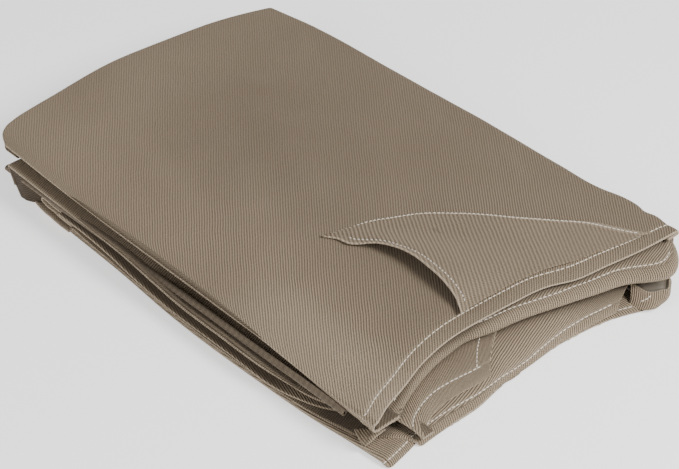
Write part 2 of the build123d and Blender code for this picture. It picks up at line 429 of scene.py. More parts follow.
def stitch_points(centre, rise, radius, lift):
    """The points of a stitch's rings, ring by ring."""
    side = unit(np.cross(unit(centre[-1] - centre[0]), rise))
    centre = centre + rise * (lift + RING_RISE)[:, None]
    points = []
    for c, s, u, girth in zip(centre, side, rise, RING_GIRTH):
        for a in np.arange(RING_SIDES) * 2 * math.pi / RING_SIDES:
            points.append(c + radius * girth * (s * math.cos(a) + u * math.sin(a)))
    return points


def stitch_faces(base):
    """The faces of a stitch whose points start at index base: its sides, then its two ends."""
    rings = [[base + ring * RING_SIDES + a for a in range(RING_SIDES)] for ring in range(len(RING_SHARE))]
    faces = []
    for p, q in zip(rings, rings[1:]):
        for a in range(RING_SIDES):
            b = (a + 1) % RING_SIDES
            faces.append((p[a], p[b], q[b], q[a]))
    return faces + [tuple(rings[0][::-1]), tuple(rings[-1])]


# ---- materials

class Nodes:
    """A new material's node tree. Each input given is a constant or another node's output."""

    def __init__(self, name, inputs):
        self.material = bpy.data.materials.new(name)
        self.material.use_nodes = True
        self.tree = self.material.node_tree
        self.shader = self.tree.nodes["Principled BSDF"]
        self.feed(self.shader, inputs)

    def feed(self, node, inputs):
        for socket, value in inputs.items():
            if isinstance(value, bpy.types.NodeSocket):
                self.tree.links.new(value, node.inputs[socket])
            else:
                node.inputs[socket].default_value = value

    def add(self, kind, inputs, **settings):
        made = self.tree.nodes.new(kind)
        for key, value in settings.items():
            setattr(made, key, value)
        self.feed(made, inputs)
        return made

    def math(self, operation, *values):
        return self.add("ShaderNodeMath", dict(enumerate(values)), operation=operation).outputs[0]

    def noise(self, place, scale, detail):
        made = self.add("ShaderNodeTexNoise", {"Vector": place, "Scale": scale, "Detail": detail})
        return made.outputs["Fac"]

    def ramp(self, value, first, last):
        """A blend between two (position, colour) stops."""
        made = self.add("ShaderNodeValToRGB", {0: value})
        for element, (position, colour) in zip(made.color_ramp.elements, (first, last)):
            element.position = position
            element.color = (*colour, 1)
        return made.outputs[0]

    def bump(self, height, strength, distance):
        made = self.add("ShaderNodeBump", {"Strength": strength, "Distance": distance, "Height": height})
        self.feed(self.shader, {"Normal": made.outputs[0]})


SHEEN_TINT = (0.78, 0.63, 0.47, 1)
TICK = 1.3 * MM           # length of one tick along a rib
TICK_STAGGER = 2.4        # phase by which each rib's ticks are shifted from the last one's


def weave(tree, place, u, v, pitch, heading):
    """Waves across the ribs and along them, with the ribs a little unsteady."""
    c, s = math.cos(math.radians(heading)), math.sin(math.radians(heading))
    wobble = tree.math("MULTIPLY", tree.noise(place, 40.0, 2.0), 0.0016)
    straight = tree.math("ADD", tree.math("MULTIPLY", u, s), tree.math("MULTIPLY", v, c))
    cross_rib = tree.math("ADD", straight, wobble)
    along_rib = tree.math("SUBTRACT", tree.math("MULTIPLY", u, c), tree.math("MULTIPLY", v, s))
    ribs = tree.math("SINE", tree.math("MULTIPLY", cross_rib, 2 * math.pi / pitch))
    rib_number = tree.math("FLOOR", tree.math("DIVIDE", cross_rib, pitch))
    ticks = tree.math("ADD", tree.math("MULTIPLY", along_rib, 2 * math.pi / TICK),
                      tree.math("MULTIPLY", rib_number, TICK_STAGGER))
    return ribs, tree.math("SINE", ticks)


def crispness(tree, u, blotch, painted_shade):
    """How strongly the ribs show: more towards the hemmed end, less under painted shade in a fold."""
    along = tree.math("ADD", 1.45, tree.math("MINIMUM", tree.math("MULTIPLY", u, -3.5), 0.75))
    patchy = tree.math("MULTIPLY", along, tree.math("ADD", 0.45, blotch))
    return tree.math("MULTIPLY", patchy, tree.math("ADD", tree.math("MULTIPLY", painted_shade, 0.75), 1.0))


def cloth_material(name, colour, dark, heading, rib_mm=1.75, rib=0.5, sheen=0.25):
    """Woven cloth: ribs at a heading across it, small ticks along them, soft blotches and fine grain, paled for
    rubbing and painted highlight and darkened with painted shade.
    """
    tree = Nodes(name, {"Roughness": 0.82, "Specular IOR Level": 0.25, "Sheen Weight": sheen,
                        "Sheen Roughness": 0.5, "Sheen Tint": SHEEN_TINT})
    place = tree.add("ShaderNodeUVMap", {}, uv_map="cloth").outputs[0]
    u, v = tree.add("ShaderNodeSeparateXYZ", {0: place}).outputs[:2]
    grain, blotch = tree.noise(place, 900.0, 3.0), tree.noise(place, 9.0, 4.0)
    wear_shading_attribute = tree.add("ShaderNodeAttribute", {}, attribute_name="wear_and_shading").outputs["Fac"]
    # the mesh's wear value: below 0 it is painted shade, above 0 rubbing with a painted highlight
    painted_shade, rub_and_highlight = tree.math("MINIMUM", wear_shading_attribute, 0.0), tree.math("MAXIMUM", wear_shading_attribute, 0.0)

    rib_wave, tick_wave = weave(tree, place, u, v, rib_mm * MM, heading)
    ribs = tree.math("MULTIPLY", tree.math("MULTIPLY", rib_wave, rib), crispness(tree, u, blotch, painted_shade))
    relief = tree.math("ADD", ribs, tree.math("MULTIPLY", tick_wave, rib * 0.55))
    relief = tree.math("ADD", relief, tree.math("MULTIPLY", grain, 1.3))
    tree.bump(relief, 0.8, 0.00040)

    tone = tree.math("ADD", tree.math("MULTIPLY", relief, 0.30), tree.math("MULTIPLY", blotch, 0.25))
    woven = tree.ramp(tone, (0.0, dark), (0.78, colour))
    # pales the colour towards a rubbing tone that also serves as a painted highlight on fold crests
    rub_and_highlight = tree.math("MULTIPLY", rub_and_highlight, tree.math("ADD", grain, 0.1))
    rub_and_highlight_mix = tree.add("ShaderNodeMix", {"Factor": rub_and_highlight, "A": woven, "B": (*RUBBING_AND_HIGHLIGHT, 1)}, data_type="RGBA")
    # darkens the colour by the painted shade
    value = tree.math("ADD", tree.math("MULTIPLY", painted_shade, 0.66), 1.0)
    shaded = tree.add("ShaderNodeHueSaturation", {"Value": value, "Color": rub_and_highlight_mix.outputs["Result"]})
    tree.feed(tree.shader, {"Base Color": shaded.outputs["Color"]})
    return tree.material


def plain_material(name, colour, rough, scale=300.0):
    """A small part's finish, with a fine grain in its tone and relief."""
    tree = Nodes(name, {"Roughness": rough, "Sheen Weight": 0.15})
    place = tree.add("ShaderNodeTexCoord", {}).outputs["Object"]
    grain = tree.noise(place, scale, 4.0)
    tone = tree.ramp(grain, (0.3, [0.7 * c for c in colour]), (0.7, colour))
    tree.feed(tree.shader, {"Base Color": tone})
    tree.bump(grain, 0.3, 0.0002)
    return tree.material


TAUPE, TAUPE_DARK = (0.40, 0.315, 0.222), (0.085, 0.06, 0.036)
# a darker copy of the cloth's colours, used as painted shade on cloth that lies in shadow
SHADE, SHADE_DARK = (0.10, 0.074, 0.048), (0.03, 0.021, 0.013)
# pale tone for rubbing, also used as a painted highlight on fold crests
RUBBING_AND_HIGHLIGHT = (0.50, 0.41, 0.305)
MATERIALS = {
    "cover_cloth": cloth_material("cover cloth", TAUPE, TAUPE_DARK, heading=-40),
    "band_cloth": cloth_material("band cloth", TAUPE, TAUPE_DARK, heading=-72, rib_mm=1.7, rib=0.6),
    "apron_cloth": cloth_material("apron cloth", TAUPE, TAUPE_DARK, heading=-22, rib_mm=1.7, rib=0.6),
    "drop_cloth": cloth_material("hanging cloth", TAUPE, TAUPE_DARK, heading=8, rib_mm=1.7, rib=0.6),
    "hood_cloth": cloth_material("hood cloth", TAUPE, TAUPE_DARK, heading=32, rib_mm=2.6, rib=0.75),
    "shaded_cloth": cloth_material("cloth in painted shade", SHADE, SHADE_DARK, heading=8, sheen=0),
    "coated_side": plain_material("coated side", (0.13, 0.105, 0.075), 0.65, 120.0),
    "thread": plain_material("thread", (0.84, 0.76, 0.63), 0.6, 900.0),
    "lip_thread": plain_material("lip thread", (0.80, 0.74, 0.64), 0.7, 900.0),
    "mesh": plain_material("vent mesh", (0.05, 0.045, 0.04), 0.7),
    "webbing": plain_material("webbing", (0.20, 0.165, 0.13), 0.8),
    "hook_tape": plain_material("hook tape", (0.06, 0.05, 0.045), 0.7),
    "loop_tape": plain_material("loop tape", (0.12, 0.10, 0.085), 0.9),
    "label": plain_material("label", (0.75, 0.74, 0.72), 0.5),
}


# ---- the leaves of the cover

def across_share(y):
    """How far y lies across the pack, 0 near and 1 far."""
    return np.clip((y - WIDTH_LOW) / (WIDTH_HIGH - WIDTH_LOW), 0, 1)


def front_top(x, y):
    """The front panel's upper face: low at the near edge, crowned in the middle, with broad soft waves."""
    near_z = smooth((-200, 37), (-163, 36.4), (-104, 33.6), (-27, 31.5), (45, 29), (117, 26), (158, 25.4),
                    (178, 27.5), (195, 31))(x)
    far_z = smooth((-200, 34), (-100, 37), (0, 38), (100, 38), (180, 37.5), (205, 37))(x)
    v = across_share(y)
    rise = 1 - (1 - v) ** 3.0
    crown = 4.0 * np.sin(v * math.pi) ** 0.8 * (0.65 + 0.35 * bump(x, 0, 160))
    waves = 0.9 * ripple(x, y, 3, 150) + 0.28 * ripple(x, y, 8, 45)
    return near_z + (far_z - near_z) * rise + crown + (waves + folds(x, y)) * np.sin(v * math.pi) ** 0.6


def folds(x, y):
    """A few soft crease lines pressed into the top: each a low ridge beside a shallow valley."""
    total = np.zeros(np.broadcast(x, y).shape)
    for start, end, height, width in TOP_CREASES:
        a, b = np.array(start, float), np.array(end, float)
        along = (b - a) / np.linalg.norm(b - a)
        t = (x - a[0]) * along[0] + (y - a[1]) * along[1]
        off = (x - a[0]) * along[1] - (y - a[1]) * along[0]
        taper = ease(t / 18) * ease((np.linalg.norm(b - a) - t) / 18)
        total = total + height * taper * (off / width) * np.exp(0.5 - 0.5 * (off / width) ** 2)
    return total


# Where each crease starts and ends in the plan, how high it stands and how wide it is
TOP_CREASES = [
    ((-150, 118), (-118, 88), 1.0, 5.0), ((-20, 122), (10, 96), 0.9, 6.0), ((52, 118), (96, 98), 0.8, 5.0),
    ((-140, -60), (-20, -86), 0.8, 9.0), ((-60, -20), (60, -96), 0.9, 14.0),
    ((-110, 40), (20, -10), 0.8, 16.0), ((-20, 70), (60, 20), 0.8, 14.0),
    ((120, 96), (168, 118), 0.9, 6.0), ((-170, -20), (-120, 60), 0.8, 12.0),
]


# The x of the two upper leaves' hem edges over y
FRONT_HEM_X = smooth((-137, 191), (-131, 188.5), (-120, 183.5), (-101, 178), (-78, 171), (-52, 167.4),
                     (-16, 169), (4, 171), (30, 175), (49, 183), (75, 187.5), (100, 192), (133, 196.5))
RIGHT_HEM_X = smooth((-134, 189), (-118, 188), (-97, 179), (-67, 170.5), (-50, 168.4), (-39, 167.5),
                     (-16, 173), (5, 176.5), (32, 184), (59, 192), (85, 200), (97, 208), (107, 212.5),
                     (118, 209), (127, 200), (134, 188))


def blend_in(near_z, inner, y, steepness):
    """A covered leaf's upper face: from its height at the near edge to its height further in."""
    return near_z + (inner - near_z) * ease(across_share(y) * steepness)


def under(edge_x):
    """Painted shade on cloth where a hem above, whose edge is at edge_x over y, lies close over it."""
    return lambda x, y: -0.9 * ease((edge_x(y) + 3 - x) / 7) * ease((x - 120) / 30)


def level_depth(depth):
    """A plain end's depth, the same at every column."""
    return lambda last: np.full(len(last), float(depth))


def front_panel():
    """The top leaf."""
    def down_to_next(edge):
        return edge[:, 2] - FRONT_SHARE * pack_height(edge[:, 0], edge[:, 1]) + 0.2
    return Leaf(
        near=smooth((-210, -133), (-190, -133.6), (-160, -134.4), (150, -134.6), (200, -137)),
        far=smooth((-210, 116), (-186, 119), (-162, 122), (-60, 125.5), (18, 129), (94, 130), (130, 131),
                   (147, 135), (160, 135.2), (167, 133.5), (175, 135.5), (185, 134.0), (200, 132.5)),
        top=front_top,
        hem_x=FRONT_HEM_X,
        hem_z=smooth((-134, 27.5), (-101, 28.5), (-52, 32), (0, 34), (60, 35.5), (105, 36.8), (133, 39.2)),
        reach=level(36), curl=smooth((-134, 20), (-110, 28), (134, 28)),
        plain_x=smooth((-134, -179), (-131, -184), (-128, -190), (-121, -196.5), (-112, -199.5),
                       (-94, -202), (-70, -204), (-26, -207), (26, -206), (75, -200), (119, -188),
                       (133, -182)),
        # painted shade over the far and middle of the top, and painted light paling it near the near edge
        # towards the hemmed end
        soil=lambda x, y: (-0.37 * ease((y + 110) / 90) * (1 - 0.6 * bump(x, -190, 60))
                           + 0.3 * ease((-70 - y) / 40) * ease((x - 20) / 80)),
        near_radius=smooth((-210, 0.9), (110, 0.9), (155, 2.2), (186, 4.4)),
        far_radius=smooth((-210, 3.0), (150, 3.0), (185, 2.1), (200, 1.9)),
        near_tuck=(34.0, down_to_next), far_tuck=(16.0, 4.6),
        end_depth=level_depth(5.0),
        rows=150, columns=130)


def right_panel():
    """The right side panel: a ledge past the near edge and a bulging band below the front hem."""
    def top(x, y):
        near_z = smooth((-175, 28), (-98, 24.4), (-41, 22.9), (-12, 19.6), (9, 17.4), (52, 16.9),
                        (105, 16.2), (150, 15.5), (172, 20), (190, 22))(x)
        inner = FRONT_SHARE * pack_height(x, y) - 1.4
        lifted = inner + 7.0 * ease((x - 140) / 30) * ease((y + 125) / 60)
        return blend_in(near_z, lifted, y, 6)

    def down_to_next(edge):
        return edge[:, 2] - RIGHT_SHARE * pack_height(edge[:, 0], edge[:, 1]) - 0.4

    def wall_depth(last):
        far = ease((last[:, 1] + 110) / 60)
        return (last[:, 2] - 13.0) * (1 - far) + 5.0 * far
    return Leaf(
        near=smooth((-175, -139.6), (-98, -139.6), (-41, -140.5), (9, -141), (52, -141.5), (105, -141),
                    (130, -138), (150, -132), (170, -124), (184, -120), (195, -118)),
        far=smooth((-175, 131), (-60, 134), (60, 134), (150, 136), (190, 137)),
        top=top,
        hem_x=RIGHT_HEM_X, soil=under(FRONT_HEM_X),
        hem_z=smooth((-134, 16.5), (-100, 17), (-60, 20), (0, 21), (60, 21.5), (100, 21), (134, 22)),
        reach=smooth((-134, 8), (-60, 8), (0, 10), (134, 14)), curl=level(118),
        hem=smooth((-134, HEM_WIDTH), (-90, HEM_WIDTH), (-50, 12.5), (45, 12.5), (100, 15.5)),
        plain_x=level(-171.5), end="wall", end_depth=wall_depth,
        near_radius=smooth((-175, 0.9), (140, 0.9), (170, 2.1)),
        far_radius=smooth((-175, 5.0), (150, 5.0), (190, 4.5)),
        near_tuck=(18.0, 4.6), far_tuck=(22.0, down_to_next),
        rows=110, columns=110)


def back_return():
    """The back panel's return: a sloping apron at the hemmed end that stops at a slanting edge."""
    def top(x, y):
        near_z = smooth((-143, 16), (-117, 14.8), (-92, 14.8), (-62, 13.7), (-38, 10.8), (-7, 8.2),
                        (40, 7.4), (120, 7.6), (151, 11), (175, 18), (190, 19))(x)
        inner = RIGHT_SHARE * pack_height(x, y) - 0.8
        lifted = 6 * ease((x - 130) / 30) * ease((y + 130) / 40)
        return blend_in(near_z, inner, y, 8) + lifted
    near = smooth((-143, -137), (-117, -138), (-92, -138.5), (-62, -140), (-38, -141), (60, -142),
                  (120, -140), (150, -131), (170, -119), (184, -113.5), (196, -110.5), (206, -108))

    def soil(x, y):
        # painted shade on the narrow ledge inside the near edge, and under the right panel's hem
        ledge = ease((y - near(x) - 1.2) / 1.5) * ease((-125 - y) / 4) * ease((125 - x) / 30)
        return under(RIGHT_HEM_X)(x, y) - 0.85 * ledge
    return Leaf(
        near=near,
        far=smooth((-143, 128), (90, 130), (120, 124), (150, 60), (168, -4), (178, -20), (190, -34)),
        top=top,
        hem_x=smooth((-134, 206), (-108, 205), (-101, 199), (-91, 194), (-79, 190.5), (-69, 190),
                     (-47, 191.5), (134, 191.5)),
        hem_z=smooth((-134, 8.5), (-100, 9), (0, 9.5), (134, 10)),
        reach=level(26), curl=level(62), soil=soil, side_seam=33,
        plain_x=level(-118),
        near_radius=smooth((-175, 0.9), (140, 0.9), (175, 1.2)),
        far_radius=smooth((-175, 1.2), (140, 1.2), (175, 1.9)))


def left_panel():
    """The left side panel: its hem hangs over the end of the lowest leaf."""
    def top(x, y):
        near_z = smooth((-150, 12), (-98, 10), (-41, 7.5), (9, 5.4), (60, 5.0), (150, 6), (200, 8))(x)
        inner = RETURN_SHARE * pack_height(x, y)
        lifted = 8 * ease((x - 130) / 35) * ease((y + 60) / 40)
        return blend_in(near_z, inner, y, 8) + lifted
    return Leaf(
        near=smooth((-150, -134), (-98, -138), (-41, -140), (60, -141.8), (138, -139.5), (160, -136),
                    (176, -132), (186, -122), (196, -113), (203, -108)),
        far=smooth((-150, 130), (130, 131), (160, 122), (178, 110), (190, 98), (204, 66)),
        top=top,
        hem_x=smooth((-134, 203), (-108, 203), (-91, 201.8), (-73, 201.5), (-56, 201), (-32, 197),
                     (-5, 195.8), (33, 194.6), (58, 199.5), (76, 203), (134, 204)),
        hem_z=smooth((-134, 1.8), (28, 1.8), (58, 6), (82, 9), (134, 9)), reach=level(16), curl=level(82),
        hem=smooth((-134, HEM_WIDTH), (-75, HEM_WIDTH), (-30, 7.0), (40, 7.5), (134, HEM_WIDTH)),
        soil=under(RIGHT_HEM_X), plain_x=level(-104),
        near_radius=smooth((-175, 1.0), (140, 1.0), (175, 2.1)),
        far_radius=smooth((-175, 1.2), (140, 1.2), (175, 1.9)))


def back_panel():
    """The back panel: it lies on the floor and carries the pack."""
    def top(x, y):
        near_z = smooth((-110, 10), (-56, 8), (9, 4.2), (90, 3.6), (150, 3.8), (180, 5.0), (204, 6.6))(x)
        return blend_in(near_z, 4.2, y, 6)
    return Leaf(
        near=smooth((-110, -137.5), (-56, -139), (9, -142), (80, -142.5), (138, -140.5), (170, -138),
                    (206, -136)),
        far=smooth((-110, 134), (150, 134), (190, 122), (212, 104)),
        top=top,
        hem_x=smooth((-136, 204.5), (-118, 201), (-100, 197), (-78, 198), (-33, 196), (30, 194.5),
                     (59, 198), (70, 200.5), (80, 204), (90, 208), (100, 210), (134, 206)),
        hem_z=smooth((-136, 1.4), (-100, 0.9), (134, 0.9)), reach=level(8), curl=level(70), hem=level(4.8),
        # painted shade along the near edge towards the plain end
        soil=lambda x, y: -0.75 * ease((-130 - y) / 3) * ease((50 - x) / 60),
        plain_x=level(-107.5),
        near_radius=smooth((-110, 3.4), (-56, 2.8), (9, 1.7), (150, 1.7), (180, 2.2), (202, 3.0)),
        far_radius=level(2.1),
        near_tuck=(16.0, 3.4), far_tuck=(10.0, 3.4))


def hem_line(grid, first, hem, trim):
    """The line along a leaf's hem stitching and the way out of the cloth there."""
    column = np.arange(trim[0], grid.shape[1] - trim[1])
    row = first + np.rint(hem(grid[first + 12, column, 1]) / FINE_STEP).astype(int)
    line = grid[row, column]
    for _ in range(3):
        line[1:-1] = (line[:-2] + 2 * line[1:-1] + line[2:]) / 4
    up = unit(np.cross(np.gradient(line, axis=0), grid[row + 1, column] - grid[row - 1, column]))
    return line, np.where((up[:, 2:3] + up[:, 0:1]) < 0, -up, up)


# Each leaf with its body, the CAD nodes it stands for, its hem's thread node, its material and how many
# columns its stitching leaves out at each end
LEAVES = [
    ("front_panel_cloth", front_panel, "top_leaf", ["front_panel", "front_panel_hem"], "front_hem_thread",
     "cover_cloth", (9, 12)),
    ("side_panel_right_cloth", right_panel, "middle_leaf",
     ["side_panel_right", "side_panel_right_roll", "side_panel_right_hem"], "right_hem_thread",
     "band_cloth", (24, 24)),
    ("back_return_cloth", back_return, "base_pack", ["back_panel_return", "back_panel_return_hem"],
     "return_hem_thread", "apron_cloth", (17, 26)),
    ("side_panel_left_cloth", left_panel, "base_pack", ["side_panel_left", "side_panel_left_hem"],
     "left_hem_thread", "band_cloth", (16, 20)),
    ("back_panel_cloth", back_panel, "base_pack", ["back_panel", "back_panel_hem"], "back_hem_thread",
     "drop_cloth", (12, 16)),
]
# How far a hem's weave is turned from its panel's, in degrees
HEM_TURN = {"band_cloth": -60, "apron_cloth": 8}
# The leaves that bend across a fold: the two bodies, and where the bend starts and ends
BENDS = {
    "front_panel_cloth": ("middle_leaf", "top_leaf", (-0.190, -0.110, 0.0257), (-0.18995, -0.110, 0.0287)),
    "side_panel_right_cloth": ("base_pack", "middle_leaf", (0, 0.110, 0.0152), (0, 0.1094, 0.0190)),
}


def cloth(name, grid, wear_and_shading, material, body, nodes=(), thickness=CLOTH, layout=None):
    """A finished piece of cloth that stands for some CAD nodes and rides a body; a leaf listed in BENDS rides
    no body, its transform baked into its mesh.
    """
    obj = thicken(grid_object(name, grid, wear_and_shading, layout), thickness)
    obj.data.materials.append(MATERIALS[material])
    if nodes:
        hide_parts(*nodes)
    if name in BENDS:
        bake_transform(obj)
    else:
        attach(obj, body)
    return obj


def build_leaves():
    for name, shape, body, nodes, thread_node, material, trim in LEAVES:
        leaf = shape()
        grid, wear_and_shading, first = leaf.grid()
        layout = cloth_map(grid)
        hem_rows_end = first + int(leaf.hem(0) / FINE_STEP) + 1
        layout[:hem_rows_end] = turned(layout[:hem_rows_end], HEM_TURN.get(material, 0))
        obj = cloth(name, grid, wear_and_shading, material, body, nodes, layout=layout)
        if leaf.side_seam:
            seam = grid[first + 13:first + 52:2, -leaf.side_seam]
            small_stitches("return_side_stitches", seam, (0.6, 0, 0.8), body, pitch=3.2, length=2.4)
        line, up = hem_line(grid, first, leaf.hem, trim)
        thread = stitches(name.replace("cloth", "stitches"), line, up, body)
        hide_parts(thread_node)
        measured = [float(arc_lengths(grid, axis).take(-1, axis).mean()) * MM for axis in (1, 0)]


def small_stitches(name, line, up, body, **size):
    """A short row of stitches that stand out one way."""
    stitches(name, line, np.repeat([up], len(line), 0), body, **size)


# ---- the hood over the vent

# The hood's outline in the plan: its free edge and its seam, both from its tip, and its end by the front hem
HOOD_EDGE = [(44, -45), (54, -39.5), (62, -38), (69, -33.5), (80, -27), (92, -23.5), (106, -22),
             (124, -23.5), (140, -25.5), (153, -28.5), (162, -32.5)]
HOOD_SEAM = [(44, -45), (50, -28), (55, -12), (62, 3), (70, 19), (88, 38), (103, 52), (118, 64), (138, 82),
             (155, 98), (168, 105.5), (180, 112.5), (187, 118)]
HOOD_END = [(161, -32.5), (161.5, -11), (164, 15), (168.5, 37), (174, 54), (178.5, 77), (186.5, 118)]
HOOD_LIFT = smooth((0, 0.8), (0.12, 1.6), (0.2, 2.4), (0.3, 6.0), (0.42, 8.6), (0.6, 9.8), (0.78, 9.2),
                   (0.9, 6.0), (0.97, 2.4), (1, 1.4))
LIP_HEM = 5.6


def along(points, share):
    """Points at shares of the length of a line through plan points."""
    points = np.array(points, float)
    run = distances(points)
    return np.stack([smooth(*zip(run / run[-1], points[:, k]))(share) for k in range(2)], -1)


def hood_grid(columns=120, rows=70):
    """The hood's cloth, row by row from its turned lip edge to its seam, with its wear value: painted shade all
    over, paler at the lip edge and along the seam.
    """
    p = np.linspace(0, 1, columns)
    edge, seam = along(HOOD_EDGE, p), along(HOOD_SEAM, p)
    width = np.maximum(np.linalg.norm(seam - edge, axis=1), 16)
    near = np.arange(0, LIP_HEM + 4, FINE_STEP)[:, None] / width
    q = np.concatenate([near, near[-1] + (1 - near[-1]) * np.linspace(0, 1, rows)[1:, None]])
    end = along(HOOD_END, q[:, -1])
    straight = edge[-1] + (seam[-1] - edge[-1]) * q[:, -1:]
    plan = edge + (seam - edge) * q[..., None] + (end - straight)[:, None] * (p[:, None] ** 3)
    lift = HOOD_LIFT(p) * (1 - ease(q / 0.62)) * (1 - 0.25 * ease(q / 0.1))
    lift = lift + 0.9 * (1 - ease((q - 0.93) / 0.07) * 0.9) + 0.5 * bump(q, 0.96, 0.03)
    lift = lift + 0.5 * ripple(plan[..., 0], plan[..., 1], 21, 40) * np.sin(q * math.pi)
    lift = lift - 0.4 * np.exp(-((width * q - LIP_HEM) / 1.2) ** 2)
    z = front_top(plan[..., 0], plan[..., 1]) + lift
    face = np.concatenate([plan, z[..., None]], -1)
    inner = face[1:8:2][::-1] - np.array([0, 0, 1.5])
    way_out = unit(face[0] - face[3])
    turn = np.array([face[0] + way_out * 0.75 * math.sin(a) - np.array([0, 0, 0.75 * (1 + math.cos(a))])
                     for a in HEM_ARC])
    points = np.concatenate([inner, turn, face])
    # painted shade over the whole hood; the lip's turn paled for rubbing and painted highlight; a paler band
    # along the seam
    wear_and_shading = np.full(points.shape[:2], -0.26)
    wear_and_shading[len(inner):len(inner) + len(turn) + 1] = 0.9
    wear_and_shading[-5:] = 0.15
    return points, wear_and_shading, len(inner) + len(turn)


def hood_bend(obj):
    """Bakes the piece's transform into its mesh, so it rides no body. The top's heights under the hood are
    worked out but not used.
    """
    ground = front_top(np.array([70.0, 150, 110, 110]), np.array([-25.0, -25, -25, 12]))
    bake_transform(obj)
    return obj


def build_hood():
    grid, wear_and_shading, first = hood_grid()
    hood = thicken(grid_object("vent_hood_cloth", grid, wear_and_shading, layout=grid[..., :2]))
    hood.data.materials.append(MATERIALS["hood_cloth"])
    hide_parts("vent_hood", "vent_hood_lip", "vent_lip_hem")
    hood_bend(hood)
    lip = hood_stitches("vent_lip_stitches", grid, first + int(LIP_HEM / FINE_STEP), slice(16, -3), None,
                        pitch=3.0, length=1.7, material="lip_thread")
    hood_bend(lip)
    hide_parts("vent_lip_thread")
    seam = hood_stitches("vent_seam_stitches", grid, -4, slice(4, -1), "top_leaf",
                         pitch=2.9, length=2.5, radius=0.3)
    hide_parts("vent_seam_thread")


def hood_stitches(name, grid, row, keep, body, **size):
    """Stitches along a row of the hood's cloth."""
    line = grid[row, keep]
    up = unit(np.cross(np.gradient(line, axis=0), line - grid[row - 1, keep]))
    return stitches(name, line, np.where(up[:, 2:3] < 0, -up, up), body, **size)


def build_vent_mesh():
    """A lattice of thin yarns under the hood."""
    x, y = np.meshgrid(np.arange(86, 150, 1.6), np.arange(-11, 15, 1.6), indexing="ij")
    grid = np.stack([x, y, front_top(x, y) + 0.55], -1)
    mesh = grid_object("vent_mesh_net", grid)
    wires = mesh.modifiers.new("yarns", "WIREFRAME")
    wires.thickness = 0.45 * MM
    wires.use_replace = True
    mesh.data.materials.append(MATERIALS["mesh"])
    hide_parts("vent_mesh")
    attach(mesh, "top_leaf")


# ---- wraps, rolls and small parts

def profile_cloth(name, path, near_y, far_y, node, seed, rows=90, columns=60):
    """Cloth swept along Y from a path of (x, z) points; near_y gives where each path point's edge is."""
    path = np.array(path, float)
    run = distances(path)
    share = np.linspace(0, 1, rows)
    x, z = (smooth(*zip(run / run[-1], path[:, k]))(share) for k in range(2))
    low = np.interp(share, np.linspace(0, 1, len(near_y)), near_y)
    t = np.linspace(0, 1, columns) ** 1.3
    y = low[:, None] + (far_y - low[:, None]) * t
    xs, zs = np.repeat(x[:, None], columns, 1), np.repeat(z[:, None], columns, 1)
    zs = zs + 0.35 * ripple(xs, y, seed, 30)
    wear_and_shading = np.zeros(xs.shape)
    # the near edge paled for rubbing and a painted highlight
    wear_and_shading[:, :2] = 1.0
    return cloth(name, np.stack([xs, y, zs], -1), wear_and_shading, "cover_cloth", "base_pack", [node])


def roll_cloth(name, node, body, turns=1.7, inset=(12, 14)):
    """A loosely rolled strip of cloth within its CAD node's box, its roll along X, darkened all over with
    painted shade.
    """
    low, high = box_mm(node)
    cy, cz = (low[1:] + high[1:]) / 2
    radius = min(high[1] - low[1], high[2] - low[2]) / 2 - CLOTH
    angle = np.linspace(0, 2 * math.pi * turns, 60)
    r = radius * (1 - 0.45 * angle / angle[-1])
    x = np.linspace(low[0] + inset[0], high[0] - inset[1], 80)
    out, up = (r * np.cos(angle))[:, None] + 0 * x, (r * np.sin(angle))[:, None] + 0.25 * np.sin(x / 17)
    grid = np.stack([np.repeat(x[None], len(angle), 0), cy + out, cz + up], -1)
    painted_shade = np.full(grid.shape[:2], -0.85)
    return cloth(name, grid, painted_shade, "cover_cloth", body, [node])


def flat_cloth(name, node, material, step, wave, short=0.0):
    """A flat piece laid in its CAD node's box, a little uneven, with softly rounded corners. It stops short
    of the box at the hemmed end by the length given."""
    low, high = box_mm(node)
    high = high - [short, 0, 0]
    nx, ny = (max(int((high[k] - low[k]) / step), 6) for k in range(2))
    s, t = np.meshgrid(np.linspace(0, 1, nx), np.linspace(0, 1, ny), indexing="ij")
    corner = 1 - 0.03 * (np.abs(2 * s - 1) ** 8) * (np.abs(2 * t - 1) ** 8)
    x = (low[0] + high[0]) / 2 + (s - 0.5) * (high[0] - low[0]) * corner
    y = (low[1] + high[1]) / 2 + (t - 0.5) * (high[1] - low[1]) * corner
    z = np.full(x.shape, high[2]) + wave * (ripple(x, y, 4, 25) - 1)
    deep = min(max(high[2] - low[2], 0.5), 1.4)
    return cloth(name, np.stack([x, y, z], -1)[::-1], None, material, "base_pack", [node], deep)


def build_end_wrap():
    wrap = profile_cloth(
        "end_wrap_cloth",
        [(-146, 15.0), (-156, 15.0), (-161, 14.2), (-161.5, 11.5), (-161.5, 7), (-160, 4.2), (-155, 3.2),
         (-135, 2.8), (-110, 2.6)],
        [-129, -130, -131, -132, -134, -135.5, -136, -136.5, -137], 126, "end_wrap", seed=1)
    roll = profile_cloth(
        "back_inner_roll_cloth",
        [(-62, 12.6), (-100, 13.4), (-132, 14.6), (-139, 15.0), (-142, 13.6), (-142, 11.4), (-138, 9.9),
         (-128, 9.6), (-122, 8.6), (-108, 8.0), (-62, 6.4)],
        [-134, -136, -136, -135, -135, -135, -135, -135.5, -136, -136, -134], 118,
        "back_panel_inner_roll", seed=6)


